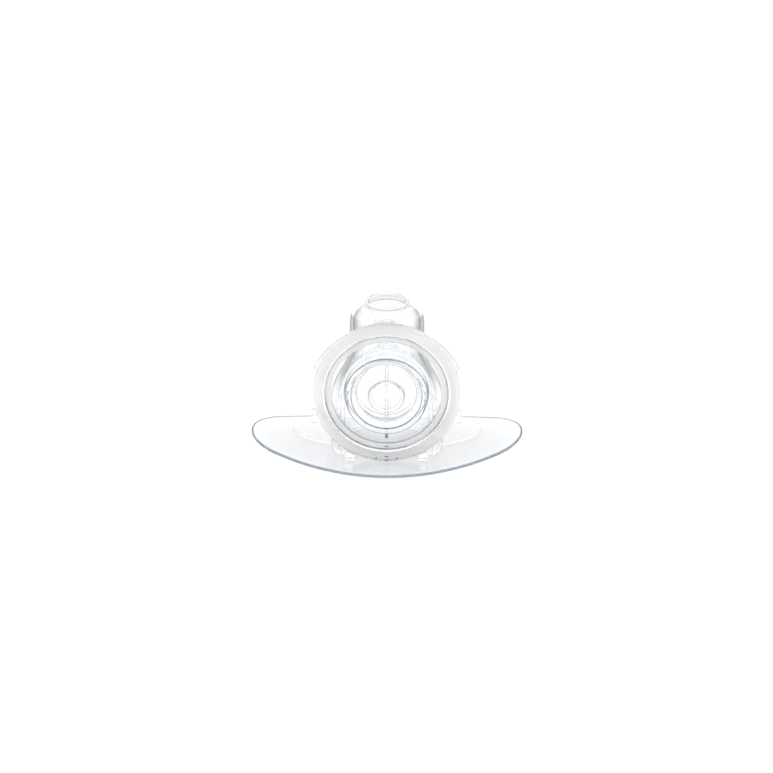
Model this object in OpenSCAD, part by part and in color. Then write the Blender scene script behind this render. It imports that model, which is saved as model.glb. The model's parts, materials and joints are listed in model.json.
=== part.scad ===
// Clear hat-shaped fitting: a bent oval brim, a hollow bell crown with a lift-out cup in its
// top, and a round front seat that holds a diaphragm, a push button and a twist bezel.
// Origin: centre of the footprint, on the plane the rest pads stand on. +Z up, front is -Y.

/* [Brim] */
// Width of the brim, end to end
brim_w = 113.5; // [100:0.5:130]
// Depth of the brim, front to back
brim_d = 59; // [56:0.5:62]
// Radius of the rounded ends of the brim outline
brim_end_r = 20; // [18:0.5:22]
// Thickness of the brim plate
brim_t = 1.6; // [1.4:0.1:2]
// Radius the brim is bent to, so that both ends rise
bend_r = 220; // [200:5:300]
// Height of the rest pads below the brim
pad_h = 0.6; // [0.4:0.1:1]

/* [Crown] */
// Height of the crown above the brim
crown_h = 64.3; // [63.5:0.1:66]
// Radius of the crown at its neck
neck_r = 15.4; // [15:0.1:16]
// Radius of the crown at its belly
belly_r = 23.4; // [23:0.1:24]
// Wall of the crown shell
crown_wall = 1.5; // [1.2:0.1:1.6]
// Height at which the crown shell swells from neck to belly
swell_z = 34; // [33:0.5:35]
// Outer radius of the liner at its neck
liner_neck_r = 10.6; // [10.4:0.1:10.8]
// Outer radius of the liner at its belly
liner_belly_r = 20.9; // [20.5:0.1:21]
// Wall of the liner
liner_wall = 1.2; // [1:0.1:1.3]

/* [Front seat] */
// Height of the seat axis above the brim
axis_h = 30.6; // [30.6:0.1:31.5]
// Distance of the bezel's front face in front of the crown's own axis
front_y = 18; // [17.5:0.1:18.5]
// Outer radius of the bezel
bezel_r = 30; // [29.8:0.1:30.2]
// Radius of the two raised grips' outer edge, about a centre below the seat axis
grip_r = 33.4; // [33:0.1:33.6]
// How far that centre lies below the seat axis
grip_drop = 3.4; // [3:0.1:3.6]
// Angle above the horizontal at which the raised grips begin
grip_angle = 21; // [18:1:24]
// Outer radius of the hub that the bezel turns on
hub_r = 26.6; // [26.5:0.1:26.8]
// Radial clearance between bezel and hub
bezel_gap = 0.08; // [0.05:0.01:0.1]
// Radius of the window through seat and crown
window_r = 13.5; // [13:0.1:14]
// Number of bayonet lugs on the hub
lugs = 3; // [2:1:4]

/* [Diaphragm and button] */
// Radius of the diaphragm's raised crest, outside
crest_r = 16.7; // [16.5:0.1:17]
// Width of the flat crest
crest_w = 2.3; // [2:0.1:2.5]
// How far the crest and the button stand in front of the bezel
crest_out = 2; // [1.8:0.1:2.4]
// Depth of the diaphragm's groove, from the crest
groove_depth = 3.8; // [3.5:0.1:4]
// Radius of the push button
button_r = 7.8; // [7.5:0.1:8]
// Radius of the button's stem
stem_r = 1; // [0.9:0.1:1.1]

/* [Cup] */
// Inner radius of the cup's mouth
cup_mouth_r = 7.7; // [7.5:0.1:7.8]
// Inner radius of the cup's floor
cup_floor_r = 4.6; // [4.4:0.1:4.8]
// Depth of the cup
cup_depth = 8.4; // [8:0.1:9]
// Outer radius of the drip tube below the cup
drip_r = 2.9; // [2.7:0.1:3]
// Bore radius of the drip tube
drip_bore_r = 1.8; // [1.5:0.1:2]
// Radius of the flap valve on the drip tube
flap_r = 5.2; // [5:0.1:5.5]

/* [Hidden] */
$fn = 96;
eps = 0.01;

deck = pad_h + brim_t;         // top of the brim on the centre line
axis_z = deck + axis_h;        // height of the seat axis
top_z = deck + crown_h;        // top of the crown shell
brim_a = brim_w / 2;
brim_b = brim_d / 2;
fine_fn = 240;                 // sides used to draw the large curves
past = 1;                      // how far a cutter reaches past the face it cuts
liner_gap = 0.4;               // air between crown shell and liner

seat_t = 1.6;                  // plate of the seat ring
wall_y = -11.8;                // front face of the crown's flat wall
seat_y = wall_y - seat_t;      // front face of the seat plate
seat_r = 28.2;
hub_wall = 1.5;
hub_y = -17.2;                 // front end of the hub
bezel_back_y = seat_y - 0.2;
groove_front_y = -16.6;        // bayonet groove inside the bezel
groove_back_y = -15;
groove_r = hub_r + 1.7;
lug_r = hub_r + 1.4;
lug_t = 1.2;
lug_angle = 22;
slot_turn = 28;                // turn that brings the slots over the lugs
thumb_w = 8.6;                 // between the two thumb marks on the bezel
thumb_t = 0.4;                 // width of a thumb mark
mark_w = 1.4;                  // width of the index grooves and of the index key
crest_y = -front_y - crest_out;
skin = 1.2;                    // wall of the diaphragm
web_y = seat_y - skin;         // front of the diaphragm's flat web
button_socket = 0.5;           // front wall left over the stem's socket
button_edge_r = button_r + 0.6;      // button's back edge, where the diaphragm holds it
bead_r = 24.6;
bead_w = 2;
bead_t = 1.8;
clamp_t = 1.2;                 // thickness of the clamp ring
mark_h = 0.6;                  // height of an index groove
mark_deep = 0.3;               // depth of the clamp ring's index groove
key_h = 2.8;                   // height of the index key
key_drop = 20.5;               // from the seat axis down to the key's lower end
floor_y = crest_y + groove_depth;
foot_a = 40;                   // crown foot flange, half width
foot_b = 14;                   // crown foot flange, half depth
foot_y = 8;
foot_t = 0.8;
shoulder_z = 55;               // the crown's straight neck ends here, above the brim
mouth_r = 8.6;                 // opening in the crown's top
shoulder_r = mouth_r + 0.4;
liner_top_r = mouth_r + 0.6;
liner_h = crown_h - crown_wall - liner_gap;
rim_t = 0.7;                   // thickness of the cup's rim
cup_wall = 0.8;
cup_z = top_z - cup_depth + rim_t;   // floor of the cup, inside
seal_z = top_z - 0.8;
seal_r = 0.45;
seal_ring_r = mouth_r - 0.05 - seal_r;
drip_z = deck + 45;            // lower end of the drip tube
bush_r = 2;
bush_y = wall_y + 2.4;         // back end of the bush
stem_end_y = bush_y + 3;
flange_t = 0.8;                // thickness of the flap valve's disc

// ---- outlines -------------------------------------------------------------------------------

// Four-arc oval, half width a, half depth b, end radius r
module oval(a, b, r) {
    c = a - r;
    side_r = (c * c + b * b - r * r) / (2 * (b - r));
    join = c * side_r / (side_r - r);
    for (s = [-1, 1]) translate([s * c, 0]) circle(r, $fn = fine_fn);
    intersection() {
        translate([0, b - side_r]) circle(side_r, $fn = 4 * fine_fn);
        translate([0, side_r - b]) circle(side_r, $fn = 4 * fine_fn);
        square([2 * join, 2 * b], center = true);
    }
}

// A layer of the bent brim: from depth z1 to z2 below its upper face, within an oval
module bent_layer(a, b, r, z1, z2) {
    intersection() {
        linear_extrude(3 * deck + brim_t + 10) oval(a, b, r);
        translate([0, 0, deck + bend_r]) rotate([90, 0, 0]) difference() {
            cylinder(h = 4 * b, r = bend_r + z2, center = true, $fn = 4 * fine_fn);
            cylinder(h = 5 * b, r = bend_r + z1, center = true, $fn = 4 * fine_fn);
        }
    }
}

// Everything above the brim's upper face
module above_brim() {
    translate([0, 0, deck + bend_r]) rotate([90, 0, 0])
        cylinder(h = 3 * brim_d, r = bend_r, center = true, $fn = 4 * fine_fn);
}

// Radius of a bell: neck, belly, height of the swell and its softness
function bell(z, rn, rb, zm, w) = rn + (rb - rn) / (1 + exp((z - zm) / w));
function shell_r(z) = bell(z, neck_r, belly_r, swell_z, 3.6);
function liner_r(z) = bell(z, liner_neck_r, liner_belly_r, swell_z + 2.5, 4.2);

bell_steps = 24;
shoulder_steps = 8;

// Outline of the crown, drawn in by the given wall
function crown_outline(in) = concat(
    [for (i = [0 : bell_steps]) let (z = shoulder_z * i / bell_steps) [shell_r(z) - in, z]],
    [for (i = [1 : shoulder_steps]) let (a = 90 * i / shoulder_steps)
        [shoulder_r - in + (neck_r - shoulder_r) * cos(a),
         shoulder_z + (crown_h - shoulder_z - in) * sin(a)]]);

// Outline of the liner, which turns in under the crown's shoulder
function liner_outline(in) = concat(
    [for (i = [0 : bell_steps]) let (z = shoulder_z * i / bell_steps) [liner_r(z) - in, z]],
    [for (i = [1 : shoulder_steps]) let (a = 90 * i / shoulder_steps)
        [liner_top_r - in + (liner_r(shoulder_z) - liner_top_r) * cos(a),
         shoulder_z + (liner_h - shoulder_z - in * 0.5) * sin(a)]]);

module turned(outline) {
    last = outline[len(outline) - 1];
    translate([0, 0, deck]) rotate_extrude($fn = fine_fn)
        polygon(concat([[0, 0]], outline, [[0, last[1]]]));
}

// Half space behind the plane y
module behind(y) { translate([-100, y, -50]) cube([200, 200, 300]); }

// Cylinder along the seat axis, from y1 (front) to y2 (back)
module disc(r, y1, y2) {
    translate([0, y2, axis_z]) rotate([90, 0, 0]) cylinder(r = r, h = y2 - y1, $fn = fine_fn);
}

module ring(r_out, r_in, y1, y2) {
    difference() {
        disc(r_out, y1, y2);
        disc(r_in, y1 - past, y2 + past);
    }
}

// Wedge along the seat axis, centred on an angle, less than a half turn wide
module wedge(angle, width, y1, y2) {
    far = 60;
    translate([0, y2, axis_z]) rotate([90, 0, 0]) rotate([0, 0, angle]) linear_extrude(y2 - y1)
        polygon([[0, 0], far * [cos(width / 2), -sin(width / 2)],
                 [2 * far, 0], far * [cos(width / 2), sin(width / 2)]]);
}

// Shape turned about the seat axis from an outline of [radius, y]
module turned_front(outline) {
    translate([0, 0, axis_z]) rotate([90, 0, 0]) rotate_extrude($fn = fine_fn)
        polygon([for (p = outline) [p[0], -p[1]]]);
}

// ---- fixed pieces ---------------------------------------------------------------------------

module brim() {
    color("aliceblue", 0.5) bent_layer(brim_a, brim_b, brim_end_r, 0, brim_t);
}

// Two rails under the brim that keep it from rocking
module rest_pads() {
    pad_x = 15;
    pad_w = 3;
    pad_l = 44;
    color("white") difference() {
        for (s = [-1, 1]) translate([s * pad_x - pad_w / 2, -pad_l / 2, 0])
            cube([pad_w, pad_l, pad_h + brim_t / 2]);
        translate([0, 0, deck + bend_r]) rotate([90, 0, 0])
            cylinder(h = 2 * brim_d, r = bend_r + brim_t, center = true, $fn = 4 * fine_fn);
    }
}

// Bell crown with a flat front wall, its window, its mouth and its foot flange
module crown_shell() {
    color("lightsteelblue", 0.5) {
        difference() {
            intersection() {
                turned(crown_outline(0));
                behind(wall_y);
                above_brim();
            }
            intersection() {
                turned(crown_outline(crown_wall));
                behind(wall_y + crown_wall);
            }
            translate([0, 0, top_z - 5]) cylinder(r = mouth_r, h = 5 + past);
            disc(window_r, wall_y - past, wall_y + crown_wall + past);
        }
        difference() {
            translate([0, foot_y, 0]) bent_layer(foot_a, foot_b, foot_b - 4, -foot_t, 0);
            translate([0, 0, deck - past]) cylinder(r = belly_r - 0.5, h = 10, $fn = fine_fn);
        }
    }
}

// Inner bell, from the brim up to the neck that takes the cup's seal
module crown_liner() {
    color("azure", 0.5) difference() {
        intersection() {
            turned(liner_outline(0));
            behind(wall_y + crown_wall + liner_gap);
            above_brim();
        }
        intersection() {
            turned(liner_outline(liner_wall));
            behind(wall_y + crown_wall + liner_gap + liner_wall);
        }
        disc(window_r - 1, wall_y, wall_y + 5);
        translate([0, 0, top_z - 8]) cylinder(r = liner_top_r - 0.4, h = 8);
    }
}

// Plate, hub and bayonet lugs
module seat_ring() {
    color("ghostwhite", 0.6) difference() {
        union() {
            disc(seat_r, seat_y, wall_y);
            disc(hub_r, hub_y, seat_y + eps);
            intersection() {
                disc(lug_r, groove_front_y + 0.2, groove_front_y + 0.2 + lug_t);
                for (i = [0 : lugs - 1])
                    wedge(90 + 360 * i / lugs, lug_angle, hub_y, seat_y);
            }
        }
        disc(hub_r - hub_wall, hub_y - past, seat_y);
        disc(window_r, seat_y - past, wall_y + past);
    }
}

// Blocks on the seat's rim, one each side, that steady it on the bench while the bezel is turned
module side_lugs() {
    lug_w = 4;
    lug_h = 6;
    color("lightgray") for (s = [0, 1]) mirror([s, 0, 0]) difference() {
        translate([seat_r - 1.4, seat_y + 0.2, axis_z - 15])
            cube([lug_w, wall_y - seat_y + 1, lug_h]);
        disc(seat_r, seat_y - past, wall_y + 5);
    }
}

// Short block between brim and bezel, hollowed to the bezel's rim
module cradle(side) {
    cradle_x = 15;
    cradle_w = 4;
    color("ghostwhite", 0.6) difference() {
        intersection() {
            translate([side * cradle_x - cradle_w / 2, -front_y + 0.4, deck - 1])
                cube([cradle_w, 5, 8]);
            above_brim();
        }
        disc(bezel_r + 0.35, -front_y - past, wall_y + past);
    }
}

// Ring that clamps the diaphragm's bead, with an index groove at the bottom
module clamp_ring() {
    front = seat_y - bead_t - clamp_t;
    mark_drop = 24.1;          // from the seat axis down to the groove's lower edge
    color("white") difference() {
        ring(hub_r - hub_wall - 0.1, bead_r - bead_w - 0.2, front, seat_y - bead_t);
        translate([-mark_w / 2, front - past, axis_z - mark_drop])
            cube([mark_w, past + mark_deep, mark_h]);
    }
}

// Key that holds the diaphragm from turning
module index_key() {
    key_t = 1.2;
    color("dimgray") translate([-mark_w / 2, web_y - key_t, axis_z - key_drop])
        cube([mark_w, key_t, key_h]);
}

// Upright bar across the window, with the bush the button's stem slides in
module guide_bridge() {
    bar_w = 1.4;
    bush_gap = 0.05;           // radial clearance of the stem
    color("lightsteelblue", 0.7) difference() {
        union() {
            intersection() {
                translate([-bar_w / 2, seat_y, axis_z - window_r])
                    cube([bar_w, seat_t, 2 * window_r]);
                disc(window_r, seat_y - past, wall_y + past);
            }
            disc(bush_r, seat_y, bush_y);
        }
        disc(stem_r + bush_gap, seat_y - past, bush_y + past);
    }
}

module diaphragm() {
    flank = 0.8;               // draft of the crest's outer wall
    groove_in = 2.1;           // draft of the groove's wall
    inner = crest_r - crest_w;
    color("whitesmoke", 0.7) turned_front([
        [bead_r, seat_y], [bead_r, seat_y - bead_t], [bead_r - bead_w, seat_y - bead_t],
        [bead_r - bead_w, web_y], [crest_r + flank, web_y], [crest_r, crest_y],
        [inner, crest_y], [inner - groove_in, floor_y], [button_edge_r, floor_y],
        [button_edge_r, floor_y + skin], [inner - groove_in + skin * 0.8, floor_y + skin],
        [inner + skin, crest_y + skin], [crest_r - skin, crest_y + skin],
        [crest_r + flank - skin, seat_y]]);
}

// ---- push button ----------------------------------------------------------------------------

module centre_button() {
    wall = 1.3;
    color("lightblue", 0.6) difference() {
        union() {
            disc(button_r, crest_y, floor_y);
            disc(button_edge_r, floor_y, floor_y + skin);
        }
        disc(button_r - wall, crest_y + wall, floor_y + skin + past);
        disc(stem_r, crest_y + button_socket, crest_y + wall + past);
    }
}

module button_stem() {
    color("white") disc(stem_r, crest_y + button_socket, stem_end_y);
}

// Snap collar behind the bush that keeps the button in
module stem_clip() {
    color("gray") ring(bush_r - 0.2, stem_r, bush_y + 0.2, bush_y + 1.2);
}

// ---- bezel ----------------------------------------------------------------------------------

module bezel() {
    lip_y = hub_y - 0.2;       // the front lip that covers the hub's end
    lip_w = 0.7;
    grip_t = 2.6;
    color("snow", 0.8) difference() {
        union() {
            disc(bezel_r, -front_y, bezel_back_y);
            intersection() {
                translate([0, 0, -grip_drop]) disc(grip_r, -front_y, -front_y + grip_t);
                wedge(90, 180 - 2 * grip_angle, -front_y - past, 0);
            }
        }
        disc(hub_r + bezel_gap, lip_y, 0);
        disc(hub_r - lip_w, -front_y - past, 0);
        disc(groove_r, groove_front_y, groove_back_y);
        // slots that let the lugs into the groove
        intersection() {
            disc(groove_r - 0.1, groove_back_y - 0.4, 0);
            for (i = [0 : lugs - 1])
                wedge(90 - slot_turn + 360 * i / lugs, lug_angle + 4, groove_back_y - 0.5, 1);
        }
        // thumb marks at the lower edge, and two index grooves across the face
        for (s = [-1, 1])
            translate([s * thumb_w / 2 - thumb_t / 2, -front_y - past, axis_z - bezel_r - past])
                cube([thumb_t, past + 0.6, past + 2]);
        for (r = [27.7, 29.4]) translate([-mark_w / 2, -front_y - past, axis_z - r - mark_h / 2])
            cube([mark_w, past + 0.4, mark_h]);
    }
}

// ---- lift-out cup ---------------------------------------------------------------------------

module crown_cup() {
    rim_r = 9.2;
    flare = 1.1;               // how far the wall flares above the floor's corner
    color("lightcyan", 0.6) difference() {
        rotate_extrude($fn = fine_fn) polygon([
            [drip_bore_r, cup_z - cup_wall], [cup_floor_r + cup_wall, cup_z - cup_wall],
            [cup_floor_r + cup_wall + flare, cup_z + 0.3 * cup_depth],
            [cup_mouth_r + cup_wall, top_z],
            [rim_r, top_z], [rim_r, top_z + 0.6 * rim_t], [rim_r - 0.3, top_z + rim_t],
            [cup_mouth_r, top_z + rim_t], [cup_floor_r + flare, cup_z + 0.35 * cup_depth],
            [cup_floor_r, cup_z], [drip_bore_r, cup_z]]);
        translate([0, 0, seal_z]) rotate_extrude($fn = 96) translate([seal_ring_r, 0])
            circle(seal_r, $fn = 48);
    }
}

module cup_seal() {
    color("white") translate([0, 0, seal_z]) rotate_extrude($fn = 96)
        translate([seal_ring_r, 0]) circle(seal_r, $fn = 48);
}

module drip_tube() {
    length = cup_z - cup_wall - drip_z;
    color("azure", 0.7) translate([0, 0, drip_z]) difference() {
        cylinder(r = drip_r, h = length);
        translate([0, 0, -past]) cylinder(r = drip_bore_r, h = length + 2 * past);
    }
}

// Soft disc under the drip tube, with a collar that grips it
module flap_valve() {
    flap_hole_r = 0.6;
    collar_t = 0.9;
    collar_h = 2;
    color("whitesmoke") translate([0, 0, drip_z]) {
        difference() {
            translate([0, 0, -flange_t]) cylinder(r = flap_r, h = flange_t);
            translate([0, 0, -flange_t - past]) cylinder(r = flap_hole_r, h = flange_t + 2 * past);
        }
        difference() {
            translate([0, 0, -eps]) cylinder(r = drip_r + collar_t, h = collar_h);
            translate([0, 0, -past]) cylinder(r = drip_r, h = collar_h + 2 * past);
        }
    }
}

brim();
rest_pads();
crown_shell();
crown_liner();
seat_ring();
side_lugs();
cradle(-1);  // cradle_left
cradle(1);  // cradle_right
clamp_ring();
index_key();
guide_bridge();
diaphragm();
centre_button();
button_stem();
stem_clip();
bezel();
crown_cup();
cup_seal();
drip_tube();
flap_valve();
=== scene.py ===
"""Looks of the clear hat-shaped cap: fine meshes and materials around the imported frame, studio and camera.

Lengths are in millimetres until a mesh is made, which scales them to metres. Places come from the CAD
nodes' boxes.
"""

import json
import math

import bmesh
import bpy
from mathutils import Matrix, Vector


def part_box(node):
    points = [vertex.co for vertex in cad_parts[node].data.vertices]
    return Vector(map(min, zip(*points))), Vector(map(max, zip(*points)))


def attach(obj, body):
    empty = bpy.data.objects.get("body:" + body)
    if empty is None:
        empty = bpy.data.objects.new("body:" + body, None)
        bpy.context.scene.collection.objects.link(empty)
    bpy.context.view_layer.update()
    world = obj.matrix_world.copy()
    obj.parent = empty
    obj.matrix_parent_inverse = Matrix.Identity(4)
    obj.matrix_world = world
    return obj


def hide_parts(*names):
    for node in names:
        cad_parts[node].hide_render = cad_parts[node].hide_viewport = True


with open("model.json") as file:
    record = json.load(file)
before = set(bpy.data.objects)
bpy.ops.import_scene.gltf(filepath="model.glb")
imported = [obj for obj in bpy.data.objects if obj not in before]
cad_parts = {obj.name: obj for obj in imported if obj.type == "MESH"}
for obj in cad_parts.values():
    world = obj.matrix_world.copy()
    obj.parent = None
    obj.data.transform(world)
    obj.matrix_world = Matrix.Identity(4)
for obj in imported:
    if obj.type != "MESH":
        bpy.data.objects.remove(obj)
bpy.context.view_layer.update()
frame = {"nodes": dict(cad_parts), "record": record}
scene = bpy.context.scene
slot_of = {s["node"]: s["material_slot"] for s in frame["record"]["subparts"]}
MM = 0.001
GAP = 0.06          # air left between clear pieces that touch, so that each keeps its own surface


def box(node):
    low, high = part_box(node)
    return low / MM, high / MM


# ---- places read from the frame -----------------------------------------------------------------

brim_low, brim_high = box("brim")
shell_low, shell_high = box("crown_shell")
liner_high = box("crown_liner")[1]
seat_low, seat_high = box("seat_ring")
clamp_low, clamp_high = box("clamp_ring")
skin_low, skin_high = box("diaphragm")
button_low, button_high = box("centre_button")
stem_high = box("button_stem")[1]
clip_low, clip_high = box("stem_clip")
bezel_low, bezel_high = box("bezel")
bridge_high = box("guide_bridge")[1]
cup_low, cup_high = box("crown_cup")
drip_low, drip_high = box("drip_tube")
flap_low, flap_high = box("flap_valve")
seal_low, seal_high = box("cup_seal")

DECK = shell_low.z                       # upper face of the brim on the centre line
BRIM_T = DECK - brim_low.z
BRIM_A = brim_high.x
BRIM_B = brim_high.y
TIP_RISE = brim_high.z - DECK
BEND_R = (BRIM_A ** 2 + TIP_RISE ** 2) / (2 * TIP_RISE)
AXIS_Z = (clamp_low.z + clamp_high.z) / 2
WALL_Y = seat_high.y                     # flat front wall of the crown
SEAT_Y = skin_high.y                     # front face of the seat plate
CREST_Y = skin_low.y
FRONT_Y = bezel_low.y
TOP_Z = shell_high.z
BEZEL_R = AXIS_Z - bezel_low.z


def sag(x):
    """Rise of the bent brim at a distance from its centre line."""
    return BEND_R - math.sqrt(BEND_R ** 2 - x * x)


# ---- mesh tools ---------------------------------------------------------------------------------

MERGE = 1e-7        # points nearer than this are one point, in metres
SHARP = 40.0        # corners sharper than this stay crisp, in degrees


def clean_mesh(name, verts, faces):
    """Mesh in metres from points in millimetres, with doubled points joined and faces turned outwards."""
    mesh = bpy.data.meshes.new(name)
    mesh.from_pydata([Vector(v) * MM for v in verts], [], faces)
    bm = bmesh.new()
    bm.from_mesh(mesh)
    bmesh.ops.remove_doubles(bm, verts=bm.verts, dist=MERGE)
    bmesh.ops.recalc_face_normals(bm, faces=bm.faces)
    bm.to_mesh(mesh)
    bm.free()
    return mesh


def add_piece(name, mesh, body, replaced, slot, finish):
    """Piece that rides on a body and stands for CAD nodes. Its finish is the slot's own, or a variant."""
    obj = bpy.data.objects.new(name, mesh)
    scene.collection.objects.link(obj)
    mesh.materials.append(MATERIALS[finish or slot])
    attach(obj, body)
    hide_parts(*replaced)
    return obj


def build(name, verts, faces, body, replaced, slot, sharp=None, finish=None):
    """New piece from points and faces. If an angle in degrees is given, sharper corners stay crisp."""
    mesh = clean_mesh(name, verts, faces)
    mesh.shade_smooth()
    if sharp is not None:
        mesh.set_sharp_from_angle(angle=math.radians(sharp))
    return add_piece(name, mesh, body, replaced, slot, finish)


STRAIGHT = math.radians(172)        # a corner flatter than this stays as it is
SIDE_SHARE = 0.45                   # the most that an arc takes of the side next to it
HOLD, HOLD_SHARE = 0.04, 0.1        # point beside each arc that keeps the flat beyond it flat


def rounded(points, radius, steps=4):
    """Closed outline with each corner made an arc. A third value in a point is that corner's own radius."""
    out = []
    count = len(points)
    for i, point in enumerate(points):
        before, after = Vector(points[i - 1][:2]), Vector(points[(i + 1) % count][:2])
        here = Vector(point[:2])
        r = point[2] if len(point) > 2 else radius
        a, b = before - here, after - here
        if r <= 0 or a.length < 1e-9 or b.length < 1e-9:
            out.append(tuple(here))
            continue
        angle = a.angle(b)
        if angle > STRAIGHT:
            out.append(tuple(here))
            continue
        reach = min(r / math.tan(angle / 2), SIDE_SHARE * a.length, SIDE_SHARE * b.length)
        r = reach * math.tan(angle / 2)
        start, end = here + a.normalized() * reach, here + b.normalized() * reach
        centre = here + (a.normalized() + b.normalized()).normalized() * (r / math.sin(angle / 2))
        first, last = start - centre, end - centre
        swing = first.angle_signed(last)
        out.append(tuple(start + a.normalized() * min(HOLD, HOLD_SHARE * a.length)))
        for k in range(steps + 1):
            t = -swing * k / steps
            c, s = math.cos(t), math.sin(t)
            out.append((centre.x + first.x * c - first.y * s, centre.y + first.x * s + first.y * c))
        out.append(tuple(end + b.normalized() * min(HOLD, HOLD_SHARE * b.length)))
    return out


ON_AXIS = 1e-6      # a point with a smaller radius lies on the axis


def turn(outline, place, segments=192, start=0.0, sweep=360.0):
    """Mesh of a closed outline of (radius, along) turned about an axis.

    place(radius, along, angle) gives each point. Less than a whole turn is closed by end faces.
    """
    whole = sweep >= 360
    stations = segments if whole else segments + 1
    verts, faces = [], []
    for i in range(stations):
        angle = math.radians(start + sweep * i / segments)
        verts += [place(r, along, angle) for r, along in outline]
    n = len(outline)
    on_axis = [r < ON_AXIS for r, _ in outline]
    for i in range(segments):
        j = (i + 1) % stations
        for k in range(n):
            m = (k + 1) % n
            if on_axis[k] and on_axis[m]:
                continue
            face = [i * n + k, j * n + k, j * n + m, i * n + m]
            if on_axis[k]:
                face = [i * n + k, j * n + m, i * n + m]
            elif on_axis[m]:
                face = [i * n + k, j * n + k, i * n + m]
            faces.append(face)
    if not whole:
        faces.append(list(range(n)))
        faces.append([(stations - 1) * n + k for k in reversed(range(n))])
    return verts, faces


def on_seat(r, y, angle):
    return (r * math.cos(angle), y, AXIS_Z + r * math.sin(angle))


def on_crown(r, z, angle):
    return (r * math.cos(angle), r * math.sin(angle), z)


def carve(obj, operation, *shapes):
    """Cuts closed shapes out of a piece, or joins them to it."""
    for verts, faces in shapes:
        tool = bpy.data.objects.new("tool", clean_mesh("tool", verts, faces))
        scene.collection.objects.link(tool)
        modifier = obj.modifiers.new("carve", "BOOLEAN")
        modifier.operation = operation
        modifier.solver = "EXACT"
        modifier.object = tool
        result = bpy.data.meshes.new_from_object(obj.evaluated_get(bpy.context.evaluated_depsgraph_get()))
        result.name = obj.name
        obj.modifiers.clear()
        obj.data = result
        bpy.data.objects.remove(tool)
    obj.data.shade_smooth()
    obj.data.set_sharp_from_angle(angle=math.radians(SHARP))


def block(x, y, z):
    """Closed box between pairs of limits."""
    verts = [(i, j, k) for i in x for j in y for k in z]
    return verts, [(0, 1, 3, 2), (4, 6, 7, 5), (0, 4, 5, 1), (2, 3, 7, 6), (0, 2, 6, 4), (1, 5, 7, 3)]


def seat_drum(r_out, r_in, y1, y2, start=0.0, sweep=360.0):
    """Closed ring, or a part of one, about the seat axis."""
    outline = [(r_out, y1), (r_out, y2), (r_in, y2), (r_in, y1)]
    return turn(outline, on_seat, max(12, int(sweep / 2)), start, sweep)


CAD_MERGE = 1e-6                    # the same as MERGE, for a copy of a CAD mesh
CAD_FLAT = math.radians(1.5)        # facets that meet flatter than this become one face
CAD_CORNER = math.radians(35)       # edges sharper than this are rounded
ROUND_STEPS = 3


def softened(name, node, body, radius, finish=None):
    """Copy of a CAD node with its edges rounded and its faces drawn in by the air gap."""
    bm = bmesh.new()
    bm.from_mesh(frame["nodes"][node].data)
    bmesh.ops.remove_doubles(bm, verts=bm.verts, dist=CAD_MERGE)
    bmesh.ops.dissolve_limit(bm, angle_limit=CAD_FLAT, verts=bm.verts, edges=bm.edges)
    bm.normal_update()
    for vert in bm.verts:
        vert.co -= vert.normal * vert.calc_shell_factor() * GAP * MM
    corners = [e for e in bm.edges if len(e.link_faces) == 2 and e.calc_face_angle() > CAD_CORNER]
    bmesh.ops.bevel(bm, geom=corners, offset=radius * MM, segments=ROUND_STEPS, profile=0.5,
                    affect="EDGES", clamp_overlap=True)
    mesh = bpy.data.meshes.new(name)
    bm.to_mesh(mesh)
    bm.free()
    mesh.shade_smooth()
    mesh.set_sharp_from_angle(angle=math.radians(SHARP))
    return add_piece(name, mesh, body, [node], slot_of[node], finish)


def refinish(obj, finish, chosen):
    """Gives some faces of a piece another finish. chosen(centre, normal) picks them, in millimetres."""
    obj.data.materials.append(MATERIALS[finish])
    index = len(obj.data.materials) - 1
    for face in obj.data.polygons:
        if chosen(face.center / MM, face.normal):
            face.material_index = index


def seat_piece(name, outline, radius, body, replaced, slot, segments=192, finish=None):
    verts, faces = turn(rounded(outline, radius), on_seat, segments)
    return build(name, verts, faces, body, replaced, slot, finish=finish)


def crown_piece(name, outline, radius, body, replaced, slot, segments=160, finish=None):
    verts, faces = turn(rounded(outline, radius), on_crown, segments)
    return build(name, verts, faces, body, replaced, slot, finish=finish)


# ---- materials ----------------------------------------------------------------------------------

PAINTED_EDGE = (0.03, 0.04, 0.05)           # painted dark reflection, grey-blue, where a clear wall is seen along its length
PAINTED_SOFT_EDGE = (0.12, 0.15, 0.19)      # a lighter painted dark reflection, for the brim, the cup and the side lugs
PAINTED_FROST_EDGE = (0.86, 0.87, 0.89)     # a faint painted grey reflection, for frosted plastic
PAINTED_FAINT_EDGE = (0.90, 0.92, 0.94)     # hardly any painted dark reflection, where a dark line would be out of place
HARD, SOFT = 1.49, 1.41             # refraction of hard plastic and of silicone


def new_material(name):
    mat = bpy.data.materials.new(name)
    mat.use_nodes = True
    return mat, mat.node_tree, mat.node_tree.nodes["Principled BSDF"]


def noise(tree, scale, detail):
    coords = tree.nodes.new("ShaderNodeTexCoord")
    texture = tree.nodes.new("ShaderNodeTexNoise")
    texture.inputs["Scale"].default_value = scale
    texture.inputs["Detail"].default_value = detail
    tree.links.new(coords.outputs["Object"], texture.inputs["Vector"])
    return texture.outputs["Fac"]


def ramp(tree, value, start, end, low=0.0, high=1.0):
    """One result where a value is at its start, another where it is at its end."""
    node = tree.nodes.new("ShaderNodeMapRange")
    node.inputs["From Min"].default_value = start
    node.inputs["From Max"].default_value = end
    node.inputs["To Min"].default_value = low
    node.inputs["To Max"].default_value = high
    tree.links.new(value, node.inputs["Value"])
    return node.outputs["Result"]


def vary(tree, socket, scale, low, high):
    """Lets a socket wander between two values over the surface."""
    tree.links.new(ramp(tree, noise(tree, scale, 3.0), 0.3, 0.7, low, high), socket)


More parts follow.
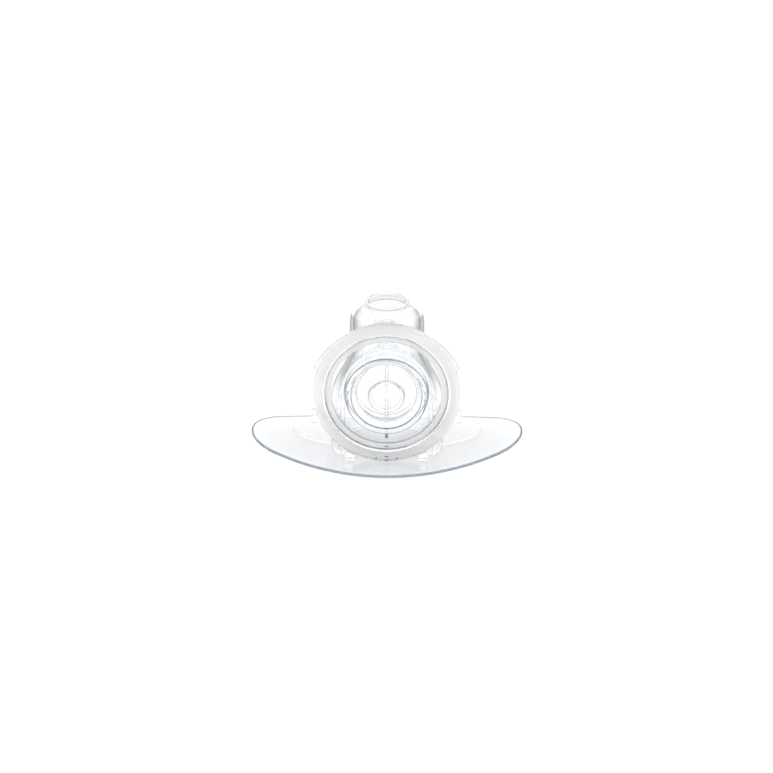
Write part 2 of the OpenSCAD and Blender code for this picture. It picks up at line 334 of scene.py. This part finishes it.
def ripple(tree, bsdf, scale, distance):
    """Faint waves of a moulded surface."""
    bump = tree.nodes.new("ShaderNodeBump")
    bump.inputs["Strength"].default_value = 1.0
    bump.inputs["Distance"].default_value = distance
    tree.links.new(noise(tree, scale, 1.0), bump.inputs["Height"])
    tree.links.new(bump.outputs["Normal"], bsdf.inputs["Normal"])


def mixed(tree, factor, first, second):
    """Colour between two others. Each of them is a socket or a plain colour."""
    mix = tree.nodes.new("ShaderNodeMix")
    mix.data_type = "RGBA"
    tree.links.new(factor, mix.inputs[0])
    for socket, value in ((mix.inputs[6], first), (mix.inputs[7], second)):
        if isinstance(value, tuple):
            socket.default_value = (*value, 1)
        else:
            tree.links.new(value, socket)
    return mix.outputs[2]


def worked_out(tree, operation, *values):
    """Result of a Math node. Each value is a socket or a plain number."""
    node = tree.nodes.new("ShaderNodeMath")
    node.operation = operation
    for socket, value in zip(node.inputs, values):
        if isinstance(value, float):
            socket.default_value = value
        else:
            tree.links.new(value, socket)
    return node.outputs[0]


def glancing(tree, start, end):
    """0 where the surface is seen square on, rising to 1 where it is seen at a glancing angle."""
    weight = tree.nodes.new("ShaderNodeLayerWeight")
    weight.inputs["Blend"].default_value = 0.5
    return ramp(tree, weight.outputs["Facing"], start, end)


def height_band(tree, low_none, low_full, high_full, high_none):
    """1 between two heights, falling to 0 below and above them."""
    coords = tree.nodes.new("ShaderNodeTexCoord")
    split = tree.nodes.new("ShaderNodeSeparateXYZ")
    tree.links.new(coords.outputs["Object"], split.inputs[0])
    height = split.outputs["Z"]
    return worked_out(tree, "MULTIPLY", ramp(tree, height, low_none * MM, low_full * MM),
                      ramp(tree, height, high_none * MM, high_full * MM))


def clear_plastic(name, first, second, rough, wave, ior=HARD, transmission=1.0, edge=PAINTED_EDGE,
                  span=(0.5, 1.0), wide=None):
    """Clear plastic with a faint uneven tint, and a painted dark reflection where a wall is seen along its
    length.

    span is the range of glancing angles over which the painted dark reflection grows, 0 square on and 1 edge
    on.
    wide is a second, wider range and the four heights of the band in which it holds, for more painted dark
    reflection there.
    """
    mat, tree, bsdf = new_material(name)
    bsdf.inputs["IOR"].default_value = ior
    bsdf.inputs["Transmission Weight"].default_value = transmission
    body = mixed(tree, noise(tree, 40.0, 2.0), first, second)
    painted_reflection = glancing(tree, *span)
    if wide:
        painted_band = worked_out(tree, "MULTIPLY", glancing(tree, *wide[:2]), height_band(tree, *wide[2:]))
        painted_reflection = worked_out(tree, "MAXIMUM", painted_reflection, painted_band)
    outside = worked_out(tree, "SUBTRACT", 1.0, tree.nodes.new("ShaderNodeNewGeometry").outputs["Backfacing"])
    painted_reflection = worked_out(tree, "MULTIPLY", painted_reflection, outside)
    # the base colour turns towards the painted dark reflection at glancing angles, on outer faces only
    tree.links.new(mixed(tree, painted_reflection, body, edge), bsdf.inputs["Base Color"])
    vary(tree, bsdf.inputs["Roughness"], 120.0, *rough)
    ripple(tree, bsdf, 70.0, wave)
    return mat


WATER_CLEAR = ((0.985, 0.989, 0.993), (0.995, 0.997, 1.0))
MATERIALS = {
    "clear_shell": clear_plastic(
        "clear_shell", *WATER_CLEAR, (0.0, 0.02), 2e-6, edge=PAINTED_SOFT_EDGE, span=(0.5, 1.0)),
    # painted dark reflection down the crown's sides, widened in a band between four heights over the brim
    "clear_crown": clear_plastic(
        "clear_crown", *WATER_CLEAR, (0.0, 0.02), 2e-6, span=(0.65, 0.95),
        wide=(0.24, 0.73, DECK + 27, DECK + 35, DECK + 59, DECK + 64)),
    "clear_inner": clear_plastic(
        "clear_inner", *WATER_CLEAR, (0.0, 0.03), 2e-6, span=(0.65, 0.95)),
    "clear_hub": clear_plastic(
        "clear_hub", *WATER_CLEAR, (0.0, 0.03), 2e-6, span=(0.7, 0.85)),
    # a darker copy of the water-clear plastic for the brim: its grey tone is painted shade
    "painted_shade_brim": clear_plastic(
        "painted_shade_brim", (0.908, 0.917, 0.932), (0.918, 0.927, 0.942), (0.0, 0.02), 2e-6, edge=PAINTED_SOFT_EDGE),
    # painted dark reflection for the brim's rim, darker than the plastic itself
    "painted_dark_rim": clear_plastic(
        "painted_dark_rim", (0.30, 0.36, 0.42), (0.36, 0.42, 0.48), (0.05, 0.12), 2e-6, transmission=0.7,
        edge=PAINTED_SOFT_EDGE),
    "clear_cup": clear_plastic(
        "clear_cup", *WATER_CLEAR, (0.0, 0.03), 2e-6, edge=PAINTED_SOFT_EDGE, span=(0.55, 0.95)),
    # painted dark reflection for the side walls of the seat's hub, the diaphragm's crest and the button, so
    # they show as dark rings
    "painted_dark_line": clear_plastic(
        "painted_dark_line", (0.60, 0.64, 0.68), (0.64, 0.68, 0.72), (0.0, 0.05), 2e-6, SOFT, span=(0.15, 0.55)),
    "water_clear": clear_plastic(
        "water_clear", (0.992, 0.995, 0.997), (0.996, 0.998, 1.0), (0.0, 0.03), 2e-6,
        edge=PAINTED_FAINT_EDGE, span=(0.8, 1.0)),
    "clear_silicone": clear_plastic(
        "clear_silicone", *WATER_CLEAR, (0.01, 0.04), 3e-6, SOFT, span=(0.58, 0.8)),
    "frosted_plastic": clear_plastic(
        "frosted_plastic", (0.98, 0.982, 0.985), (0.99, 0.992, 0.995), (0.3, 0.42), 3e-6,
        transmission=0.5, edge=PAINTED_FROST_EDGE, span=(0.8, 1.0)),
    # smoke grey, also laid on the upright bar's rounded corners as painted dark reflection
    "smoke_plastic": clear_plastic(
        "smoke_plastic", (0.30, 0.33, 0.37), (0.36, 0.39, 0.43), (0.1, 0.2), 3e-6),
}

# ---- brim ---------------------------------------------------------------------------------------

def oval_point(angle, a, b, r):
    """Point on a four-arc oval with half width a, half depth b and end radius r."""
    end_x = a - r
    side_r = (end_x * end_x + b * b - r * r) / (2 * (b - r))
    dx, dy = math.cos(angle), math.sin(angle)
    join = end_x * side_r / (side_r - r)
    # ray from the centre: the side arc first, then the end circle where it lies past the join
    side_y = (1 if dy >= 0 else -1) * (side_r - b)
    along = dy * side_y
    t = -along + math.sqrt(along * along - (side_y * side_y - side_r * side_r))
    if abs(t * dx) <= join:
        return t * dx, t * dy
    centre = end_x if dx > 0 else -end_x
    along = -dx * centre
    t = -along + math.sqrt(along * along - (centre * centre - r * r))
    return t * dx, t * dy


RIM_STEPS = 8


def bent_plate(a, b, r, low, high, centre_y=0.0, segments=256, rings=28):
    """Oval plate with a round rim that follows the brim's bend, between two heights over its upper face."""
    half = (high - low) / 2
    profile = [(i / rings, 0.0, high) for i in range(rings + 1)]
    for i in range(1, RIM_STEPS + 1):
        t = math.pi * i / RIM_STEPS
        profile.append((1.0, half * math.sin(t), (low + high) / 2 + half * math.cos(t)))
    profile += [(i / rings, 0.0, low) for i in range(rings - 1, -1, -1)]
    verts, faces = [], []
    for j in range(segments):
        angle = 2 * math.pi * (j + 0.5) / segments
        x0, y0 = oval_point(angle, a - half, b - half, r - half)
        reach = math.hypot(x0, y0)
        for share, out, z in profile:
            grow = (share * reach + out) / reach
            x, y = x0 * grow, y0 * grow
            verts.append((x, y + centre_y, DECK + sag(x) + z))
    n = len(profile)
    for j in range(segments):
        k = (j + 1) % segments
        faces += [[j * n + i, k * n + i, k * n + i + 1, j * n + i + 1] for i in range(n - 1)]
    return verts, faces


BRIM_END_R = 20.0
RIM_SLOPE = 0.75    # faces steeper than this belong to the brim's rim
brim_shape = bent_plate(BRIM_A, BRIM_B, BRIM_END_R, -BRIM_T, 0)
# the brim takes the darker copy of the clear plastic as painted shade
brim_plate = build("brim_plate", *brim_shape, "frame", ["brim"], "clear_shell", finish="painted_shade_brim")
# painted dark reflection on the rim's steep faces
refinish(brim_plate, "painted_dark_rim", lambda at, normal: abs(normal.z) < RIM_SLOPE)

# ---- crown --------------------------------------------------------------------------------------

SOFT_CORNER = 0.45     # softness of the corner where the flat wall meets the bell
FAR_BEHIND = 30        # past this many times that softness the bell is left as it is
FOOT_REACH = 4.0       # height over which the bell's foot follows the brim
SHOULDER_Z = 55.0      # top of the straight neck, above the brim


def bell(z, neck, belly, middle, softness):
    return neck + (belly - neck) / (1 + math.exp((z - middle) / softness))


def flattened(wall):
    """Places a bell's point, with the front pressed flat at the plane y = wall."""
    def place(r, z, angle):
        x, y = r * math.cos(angle), r * math.sin(angle)
        behind = (y - wall) / SOFT_CORNER
        y = wall + SOFT_CORNER * (math.log1p(math.exp(behind)) if behind < FAR_BEHIND else behind)
        lift = sag(x) * max(0.0, 1 - (z - DECK) / FOOT_REACH)
        return (x, y, z + lift)
    return place


def bell_wall(outer, inner, outer_wall, inner_wall, segments=256):
    """Closed wall between two outlines, both from the foot up, each with its own flat front."""
    verts, faces = [], []
    lines = [(outer, flattened(outer_wall)), (list(reversed(inner)), flattened(inner_wall))]
    count = len(outer) + len(inner)
    for j in range(segments):
        angle = 2 * math.pi * j / segments
        for outline, place in lines:
            verts += [place(r, z, angle) for r, z in outline]
    for j in range(segments):
        k = (j + 1) % segments
        for i in range(count):
            m = (i + 1) % count
            faces.append([j * count + i, k * count + i, k * count + m, j * count + m])
    return verts, faces


BELL_STEPS = 44
CROWN_WALL = 1.5
NECK_R = 15.4
BELLY_R = 23.4
SWELL_Z = 34.0         # height over the brim at which the bell swells, and how softly
SWELL_SOFT = 3.6
RIM_LAP = 0.6          # how far the cup's rim laps over the crown's mouth
MOUTH_BAND = 5.0       # from this height over its shoulder the crown has only a faint painted dark reflection
BELL_SHARP = 50
mouth_r = cup_high.x - RIM_LAP
crown_h = TOP_Z - DECK
shoulder_r = mouth_r + 0.4


def crown_outline(inward, arc_steps=14):
    """One face of the crown's wall, from the foot up, moved inwards from the outer face."""
    line = [(bell(SHOULDER_Z * i / BELL_STEPS, NECK_R, BELLY_R, SWELL_Z, SWELL_SOFT) - inward,
             DECK + GAP + SHOULDER_Z * i / BELL_STEPS) for i in range(BELL_STEPS + 1)]
    for i in range(1, arc_steps + 1):
        a = math.pi / 2 * i / arc_steps
        line.append((shoulder_r - inward + (NECK_R - shoulder_r) * math.cos(a),
                     DECK + SHOULDER_Z + (crown_h - SHOULDER_Z - inward) * math.sin(a)))
    return line


crown_outer = crown_outline(0)
crown_inner = [p for p in crown_outline(CROWN_WALL) if p[0] > mouth_r + 0.25]
lip_z = crown_inner[-1][1]
crown_outer += [(mouth_r + 0.12, TOP_Z - 0.05), (mouth_r + 0.03, TOP_Z - 0.16), (mouth_r, TOP_Z - 0.4)]
crown_inner += [(mouth_r + 0.12, lip_z + 0.12), (mouth_r, lip_z + 0.3)]
shell = bell_wall(crown_outer, crown_inner, WALL_Y + GAP, WALL_Y + CROWN_WALL)
crown_bell = build("crown_bell", *shell, "frame", ["crown_shell"], "clear_shell", sharp=BELL_SHARP,
                   finish="clear_crown")
# above the band the crown's painted dark reflection is faint
refinish(crown_bell, "water_clear", lambda at, normal: at.z > DECK + SHOULDER_Z + MOUTH_BAND)
window_r = bridge_high.z - AXIS_Z
carve(crown_bell, "DIFFERENCE", seat_drum(window_r, 0.0, WALL_Y - 2, WALL_Y + CROWN_WALL + 1))

FOOT_A, FOOT_B, FOOT_END_R = 40.0, 14.0, 10.0       # oval of the foot flange, as of the brim
FOOT_Y = 8.0           # its centre, behind the brim's
FOOT_T = 0.8
flange = bent_plate(FOOT_A, FOOT_B, FOOT_END_R, GAP, FOOT_T, FOOT_Y)
foot_flange = build("foot_flange", *flange, "frame", ["crown_shell"], "clear_shell", finish="water_clear")
hole_r = BELLY_R + GAP
carve(foot_flange, "DIFFERENCE", turn(
    [(0, DECK - 5), (hole_r, DECK - 5), (hole_r, DECK + 8), (0, DECK + 8)], on_crown, 192))

LINER_GAP = 0.4
LINER_WALL = 1.2
LINER_NECK_R = 10.6
LINER_BELLY_R = 20.9
LINER_SWELL_Z = SWELL_Z + 2.5
LINER_SWELL_SOFT = 4.2


def liner_outline(inward, arc_steps=12):
    """One face of the liner's wall, from the foot up, moved inwards from the outer face."""
    top_r = mouth_r + 0.6
    height = liner_high.z - DECK
    line = [(bell(SHOULDER_Z * i / BELL_STEPS, LINER_NECK_R, LINER_BELLY_R, LINER_SWELL_Z,
                  LINER_SWELL_SOFT) - inward,
             DECK + GAP + (SHOULDER_Z - GAP) * i / BELL_STEPS) for i in range(BELL_STEPS + 1)]
    neck = line[-1][0]
    for i in range(1, arc_steps + 1):
        a = math.pi / 2 * i / arc_steps
        line.append((top_r - inward + (neck - top_r + inward) * math.cos(a),
                     DECK + SHOULDER_Z + (height - SHOULDER_Z - inward / 2) * math.sin(a)))
    return line


liner_wall_y = WALL_Y + CROWN_WALL + LINER_GAP
liner = bell_wall(liner_outline(0), liner_outline(LINER_WALL), liner_wall_y, liner_wall_y + LINER_WALL)
inner_bell = build("inner_bell", *liner, "frame", ["crown_liner"], "clear_inner", sharp=BELL_SHARP)
# above its shoulder the liner's painted dark reflection is faint
refinish(inner_bell, "water_clear", lambda at, normal: at.z > DECK + SHOULDER_Z)
carve(inner_bell, "DIFFERENCE", seat_drum(window_r - 1, 0.0, WALL_Y, liner_wall_y + LINER_WALL + 2))

# ---- cup in the crown ---------------------------------------------------------------------------

CUP_WALL = 0.8
CUP_BULGE = 1.1        # how far the cup's side stands out over its floor, about a third of the way up
BULGE_ROUND = 6        # radius of the bend there
TUBE_WALL = 1.1
FLAP_T = 0.75
FLAP_HOLE_R = 0.6
rim_r = cup_high.x
rim_t = cup_high.z - TOP_Z
cup_mouth_r = mouth_r - 0.9
cup_floor_r = cup_mouth_r - 3.1
floor_z = cup_low.z + CUP_WALL
bore_r = drip_high.x - TUBE_WALL
deep = TOP_Z + rim_t - floor_z
crown_piece("cup_body", [
    (bore_r, cup_low.z, 0.1), (cup_floor_r + CUP_WALL, cup_low.z, 0.9),
    (cup_floor_r + CUP_WALL + CUP_BULGE, floor_z + 0.3 * deep, BULGE_ROUND),
    (cup_mouth_r + CUP_WALL, TOP_Z + GAP, 0.1), (rim_r, TOP_Z + GAP, 0.15), (rim_r, cup_high.z, 0.3),
    (cup_mouth_r, cup_high.z, 0.5), (cup_floor_r + CUP_BULGE, floor_z + 0.35 * deep, BULGE_ROUND),
    (cup_floor_r, floor_z, 0.9), (bore_r, floor_z, 0.2)], 0.3, "cup", ["crown_cup"], "clear_inner",
    finish="clear_cup")
crown_piece("drip_pipe", [
    (bore_r, drip_low.z), (drip_high.x, drip_low.z), (drip_high.x, drip_high.z - GAP),
    (bore_r, drip_high.z - GAP)], 0.15, "cup", ["drip_tube"], "clear_inner", 96)
collar = drip_high.x + 0.9
crown_piece("flap_disc", [
    (FLAP_HOLE_R, flap_low.z), (flap_high.x, flap_low.z, 0.35), (flap_high.x, flap_low.z + FLAP_T, 0.3),
    (collar, flap_low.z + FLAP_T, 0.3), (collar, flap_high.z), (drip_high.x + GAP, flap_high.z),
    (drip_high.x + GAP, flap_low.z + FLAP_T - 0.01), (FLAP_HOLE_R, flap_low.z + FLAP_T - 0.01)],
    0.2, "cup", ["flap_valve"], "clear_silicone", 96)

seal_r = (seal_high.z - seal_low.z) / 2
seal_z = (seal_high.z + seal_low.z) / 2
seal_ring = seal_high.x - seal_r
circle = [(seal_ring + seal_r * math.cos(math.radians(a)), seal_z + seal_r * math.sin(math.radians(a)))
          for a in range(0, 360, 15)]
build("cup_o_ring", *turn(circle, on_crown, 128), "cup", ["cup_seal"], "clear_silicone",
      finish="water_clear")

# ---- front seat ---------------------------------------------------------------------------------

FLAT = 0.97            # a face this square to the seat's axis is a flat, not a corner
hub_r = clamp_high.x + 1.6
hub_in = clamp_high.x + 0.1
hub_y = seat_low.y
seat_r = seat_high.x
seat_plate = seat_piece("seat_plate", [
    (window_r, WALL_Y - GAP), (seat_r, WALL_Y - GAP, 0.4), (seat_r, SEAT_Y, 0.4), (hub_r, SEAT_Y, 0.3),
    (hub_r, hub_y, 0.5), (hub_in, hub_y, 0.5), (hub_in, SEAT_Y, 0.3), (window_r, SEAT_Y)],
    0.2, "frame", ["seat_ring"], "clear_inner", finish="clear_hub")
# painted dark reflection on the hub's inner wall near its front
refinish(seat_plate, "painted_dark_line", lambda at, normal: at.y < hub_y + 0.5 and abs(normal.y) < FLAT
         and math.hypot(at.x, at.z - AXIS_Z) < hub_in + 0.6)
LUGS = 3
LUG_ANGLE = 22.0
SLOT_TURN = 28.0
GROOVE_FRONT = hub_y + 0.6
GROOVE_BACK = hub_y + 2.2
GROOVE_R = hub_r + 1.7
for i in range(LUGS):
    carve(seat_plate, "UNION", seat_drum(
        GROOVE_R - 0.3, hub_r - 0.7, GROOVE_FRONT + 0.2, GROOVE_FRONT + 1.4,
        90 + 360 * i / LUGS - LUG_ANGLE / 2, LUG_ANGLE))

CLAMP_W = 2.5
clamp = seat_piece("diaphragm_clamp", [
    (clamp_high.x - CLAMP_W, clamp_low.y), (clamp_high.x, clamp_low.y),
    (clamp_high.x, clamp_high.y - GAP), (clamp_high.x - CLAMP_W, clamp_high.y - GAP)],
    0.3, "frame", ["clamp_ring"], "frosted_plastic")
MARK = 0.7          # half width of the index grooves
mark_r = clamp_high.x - 1.2
carve(clamp, "DIFFERENCE", block((-MARK, MARK), (clamp_low.y - 1, clamp_low.y + 0.3),
                                 (AXIS_Z - mark_r - 0.3, AXIS_Z - mark_r + 0.3)))
refinish(clamp, "smoke_plastic", lambda at, normal: abs(at.x) < MARK + 0.05
         and abs(at.z - AXIS_Z + mark_r) < 0.35 and clamp_low.y + 0.05 < at.y < clamp_low.y + 0.35)

BEAD_W, BEAD_T = 2, 1.8
bead_r = skin_high.x
GROOVE_DEPTH = 3.8
skin = button_high.y - button_low.y - GROOVE_DEPTH
web_y = SEAT_Y - skin
crest_r = 16.7
crest_w = 2.3
flank = 0.8
groove_in = 2.1
floor_y = CREST_Y + GROOVE_DEPTH
crest_in = crest_r - crest_w
hole = button_high.x
soft_diaphragm = seat_piece("soft_diaphragm", [
    (bead_r, SEAT_Y - GAP, 0.3), (bead_r, SEAT_Y - BEAD_T, 0.5), (bead_r - BEAD_W, SEAT_Y - BEAD_T, 0.4),
    (bead_r - BEAD_W, web_y, 0.3), (crest_r + flank, web_y, 0.8), (crest_r, CREST_Y, 0.9),
    (crest_in, CREST_Y, 0.5), (crest_in - 0.1, CREST_Y + 1.2, 0.3),
    (crest_in - groove_in + 0.2, floor_y - 1.2, 0.3), (crest_in - groove_in, floor_y, 0.4),
    (hole + GAP, floor_y, 0.1),
    (hole + GAP, floor_y + skin, 0.1), (crest_in - groove_in + 0.9, floor_y + skin, 0.7),
    (crest_in + skin, CREST_Y + skin, 0.3), (crest_r - skin, CREST_Y + skin, 0.3),
    (crest_r + flank - skin, SEAT_Y - GAP, 0.5)], 0.3, "frame", ["diaphragm"], "clear_silicone")
# painted dark reflection on the sides of the diaphragm's crest
refinish(soft_diaphragm, "painted_dark_line", lambda at, normal: at.y < CREST_Y + 0.95 and abs(normal.y) < FLAT)

# ---- push button --------------------------------------------------------------------------------

BUTTON_WALL = 1.3
BUTTON_STEP = 0.6      # width of its flange, and how far its side leans in towards the front
button_r = button_high.x - BUTTON_STEP
stem_r = stem_high.x
button_cap = seat_piece("button_cap", [
    (0, CREST_Y, 0), (button_r - BUTTON_STEP, CREST_Y, 0.6), (button_r, floor_y, 0.2),
    (button_high.x, floor_y, 0.15),
    (button_high.x, button_high.y, 0.2), (button_r - BUTTON_WALL, button_high.y, 0.2),
    (button_r - BUTTON_WALL - 0.5, CREST_Y + BUTTON_WALL, 0.6), (0, CREST_Y + BUTTON_WALL, 0)],
    0.2, "button", ["centre_button"], "clear_inner", 128)
# painted dark reflection on the button's side
refinish(button_cap, "painted_dark_line", lambda at, normal: at.y < CREST_Y + 0.6 and abs(normal.y) < FLAT)
seat_piece("button_pin", [
    (0, CREST_Y + BUTTON_WALL + GAP, 0), (stem_r, CREST_Y + BUTTON_WALL + GAP, 0.2),
    (stem_r, stem_high.y, 0.6), (0, stem_high.y, 0)], 0.2, "button", ["button_stem"], "clear_inner", 64,
    finish="water_clear")
seat_piece("pin_clip", [
    (stem_r + GAP, clip_low.y), (clip_high.x, clip_low.y), (clip_high.x, clip_high.y),
    (stem_r + GAP, clip_high.y)], 0.2, "button", ["stem_clip"], "frosted_plastic", 64, finish="water_clear")

# ---- bezel --------------------------------------------------------------------------------------

bezel_back = bezel_high.y
lip_y = hub_y - 0.2
LIP_W = 0.7         # how far the front lip covers the hub's end
HUB_FIT = 0.09      # play of the bezel on the hub
bezel_body = turn(rounded([
    (hub_r - LIP_W, FRONT_Y, 0.2), (BEZEL_R, FRONT_Y, 0.8), (BEZEL_R, bezel_back, 0.3),
    (hub_r + HUB_FIT, bezel_back, 0.2), (hub_r + HUB_FIT, GROOVE_BACK, 0.1), (GROOVE_R, GROOVE_BACK, 0.1),
    (GROOVE_R, GROOVE_FRONT, 0.1), (hub_r + HUB_FIT, GROOVE_FRONT, 0.1), (hub_r + HUB_FIT, lip_y, 0.1),
    (hub_r - LIP_W, lip_y, 0.1)], 0.2), on_seat, 256)
GRIP_T = 2.6
GRIP_ANGLE = 21.0   # of each grip's lower end, above level
GRIP_R = 33.4
GRIP_DROP = 3.4     # how far the centre of the grips' edge lies below the bezel's
GRIP_ROOT = 0.6     # how deep the grips reach into the bezel


def on_grip(r, y, angle):
    """The grips' outer edge runs about a lower centre, so they fade out at the top."""
    s = GRIP_DROP * math.sin(angle)
    outer = -s + math.sqrt(s * s + GRIP_R ** 2 - GRIP_DROP ** 2)
    return on_seat(BEZEL_R - GRIP_ROOT + r * (outer - BEZEL_R + GRIP_ROOT), y, angle)


grips = turn([
    (0.02, FRONT_Y + 0.3), (0.6, FRONT_Y + 0.06), (0.85, FRONT_Y + 0.1), (0.96, FRONT_Y + 0.35),
    (1.0, FRONT_Y + 0.8), (1.0, FRONT_Y + GRIP_T - 0.5), (0.95, FRONT_Y + GRIP_T - 0.1),
    (0.85, FRONT_Y + GRIP_T), (0.02, FRONT_Y + GRIP_T)], on_grip, 128, GRIP_ANGLE, 180 - 2 * GRIP_ANGLE)
twist_bezel = build("twist_bezel", *bezel_body, "bezel", ["bezel"], "frosted_plastic")
carve(twist_bezel, "UNION", grips)
for i in range(LUGS):
    carve(twist_bezel, "DIFFERENCE", seat_drum(
        GROOVE_R - 0.1, hub_r - 0.5, GROOVE_BACK - 0.4, bezel_back + 1,
        90 - SLOT_TURN + 360 * i / LUGS - LUG_ANGLE / 2 - 2, LUG_ANGLE + 4))
THUMB_HALF = 4.3    # half the distance between the thumb marks
for mark_x in (-THUMB_HALF, THUMB_HALF):
    carve(twist_bezel, "DIFFERENCE", block(
        (mark_x - 0.2, mark_x + 0.2), (FRONT_Y - 1, FRONT_Y + 0.6), (bezel_low.z - 1, bezel_low.z + 2)))
for r in (BEZEL_R - 2.3, BEZEL_R - 0.6):
    carve(twist_bezel, "DIFFERENCE", block(
        (-MARK, MARK), (FRONT_Y - 1, FRONT_Y + 0.4), (AXIS_Z - r - 0.3, AXIS_Z - r + 0.3)))


def in_bezel_mark(at, normal):
    """Whether a face lies in one of the marks cut into the bezel's front at its lower edge."""
    in_front = FRONT_Y + 0.05 < at.y < FRONT_Y + 0.65
    at_foot = bezel_low.z + 0.1 < at.z < AXIS_Z - BEZEL_R + 3
    return in_front and at_foot and (abs(at.x) < MARK + 0.05 or abs(abs(at.x) - THUMB_HALF) < 0.25)


refinish(twist_bezel, "smoke_plastic", in_bezel_mark)

# ---- small blocks and bars ----------------------------------------------------------------------

softened("rest_rails", "rest_pads", "frame", 0.15, "water_clear")
softened("steady_lugs", "side_lugs", "frame", 0.5)
softened("left_cradle", "cradle_left", "frame", 0.5, "water_clear")
softened("right_cradle", "cradle_right", "frame", 0.5, "water_clear")
softened("key_block", "index_key", "frame", 0.15)

# the upright bar: painted dark reflection on its rounded corners, in smoke grey, with the bush for the
# button's stem at its middle
BAR_HALF = 0.7
bush_r = bridge_high.x
bar_back = WALL_Y - GAP
section = rounded([
    (BAR_HALF, SEAT_Y), (BAR_HALF, bar_back), (-BAR_HALF, bar_back), (-BAR_HALF, SEAT_Y)], 0.35)
bar_reach = window_r - GAP
count = len(section)
bar_verts = [(x, y, AXIS_Z + end * bar_reach) for end in (-1, 1) for x, y in section]
bar_faces = [(i, (i + 1) % count, count + (i + 1) % count, count + i) for i in range(count)]
bar_faces += [tuple(range(count)), tuple(reversed(range(count, 2 * count)))]
window_bar = build("window_bar", bar_verts, bar_faces, "frame", ["guide_bridge"], "clear_inner",
                   sharp=SHARP, finish="water_clear")
carve(window_bar, "UNION", seat_drum(bush_r, 0.0, SEAT_Y + 0.1, bridge_high.y))
carve(window_bar, "DIFFERENCE", seat_drum(stem_r + 0.05, 0.0, SEAT_Y - 1, bridge_high.y + 1))
# painted dark reflection: the bar's rounded corners take the smoke grey
refinish(window_bar, "smoke_plastic",
         lambda at, normal: abs(normal.x * normal.y) > 0.1 and abs(abs(at.x) - BAR_HALF) < 0.3
         and abs(at.z - AXIS_Z) > bush_r)

# ---- hidden CAD nodes keep a material too -------------------------------------------------------

for name, node in frame["nodes"].items():
    node.data.materials.clear()
    node.data.materials.append(MATERIALS[slot_of[name]])

# ---- camera -------------------------------------------------------------------------------------

PICTURE = 773          # the picture's width and height, and the scale at the aim
MM_PER_PX = 0.42
ELEVATION = math.radians(24)
AZIMUTH = math.radians(0.7)
LENS = 100.0
SENSOR = 36.0
AIM_UP = 24.15         # the aim in the picture's plane, from the middle of the brim's upper face
AIM_RIGHT = -0.2

forward = Vector((-math.sin(AZIMUTH) * math.cos(ELEVATION),
                  math.cos(AZIMUTH) * math.cos(ELEVATION), -math.sin(ELEVATION)))
right = Vector((math.cos(AZIMUTH), math.sin(AZIMUTH), 0))
up = right.cross(forward)
distance = PICTURE * MM_PER_PX * LENS / SENSOR
aim = Vector((0, 0, DECK)) + up * AIM_UP + right * AIM_RIGHT
camera_data = bpy.data.cameras.new("camera")
camera_data.lens = LENS
camera_data.sensor_width = SENSOR
camera_data.clip_start = 0.05
camera = bpy.data.objects.new("camera", camera_data)
scene.collection.objects.link(camera)
facing = Matrix((right, up, -forward)).transposed().to_quaternion()
camera.matrix_world = Matrix.LocRotScale((aim - forward * distance) * MM, facing, None)
scene.camera = camera

# ---- studio -------------------------------------------------------------------------------------

FLOOR_HALF = 3.0       # in metres
floor_mesh = bpy.data.meshes.new("floor")
floor_mesh.from_pydata([(x * FLOOR_HALF, y * FLOOR_HALF, 0) for x, y in ((-1, -1), (1, -1), (1, 1), (-1, 1))],
                       [], [(0, 1, 2, 3)])
floor = bpy.data.objects.new("floor", floor_mesh)
scene.collection.objects.link(floor)
floor_material, _, floor_bsdf = new_material("floor_white")
floor_bsdf.inputs["Base Color"].default_value = (0.26, 0.26, 0.26, 1)
floor_bsdf.inputs["Emission Color"].default_value = (1, 1, 1, 1)
floor_bsdf.inputs["Emission Strength"].default_value = 0.83
floor_bsdf.inputs["Roughness"].default_value = 0.9
floor_mesh.materials.append(floor_material)

world = bpy.data.worlds.new("studio")
scene.world = world
world.use_nodes = True
background = world.node_tree.nodes["Background"]
background.inputs["Color"].default_value = (1, 1, 1, 1)
background.inputs["Strength"].default_value = 1.22

scene.view_settings.view_transform = "Standard"
scene.cycles.max_bounces = 64
scene.cycles.transmission_bounces = 48
scene.cycles.glossy_bounces = 48
scene.cycles.use_denoising = True
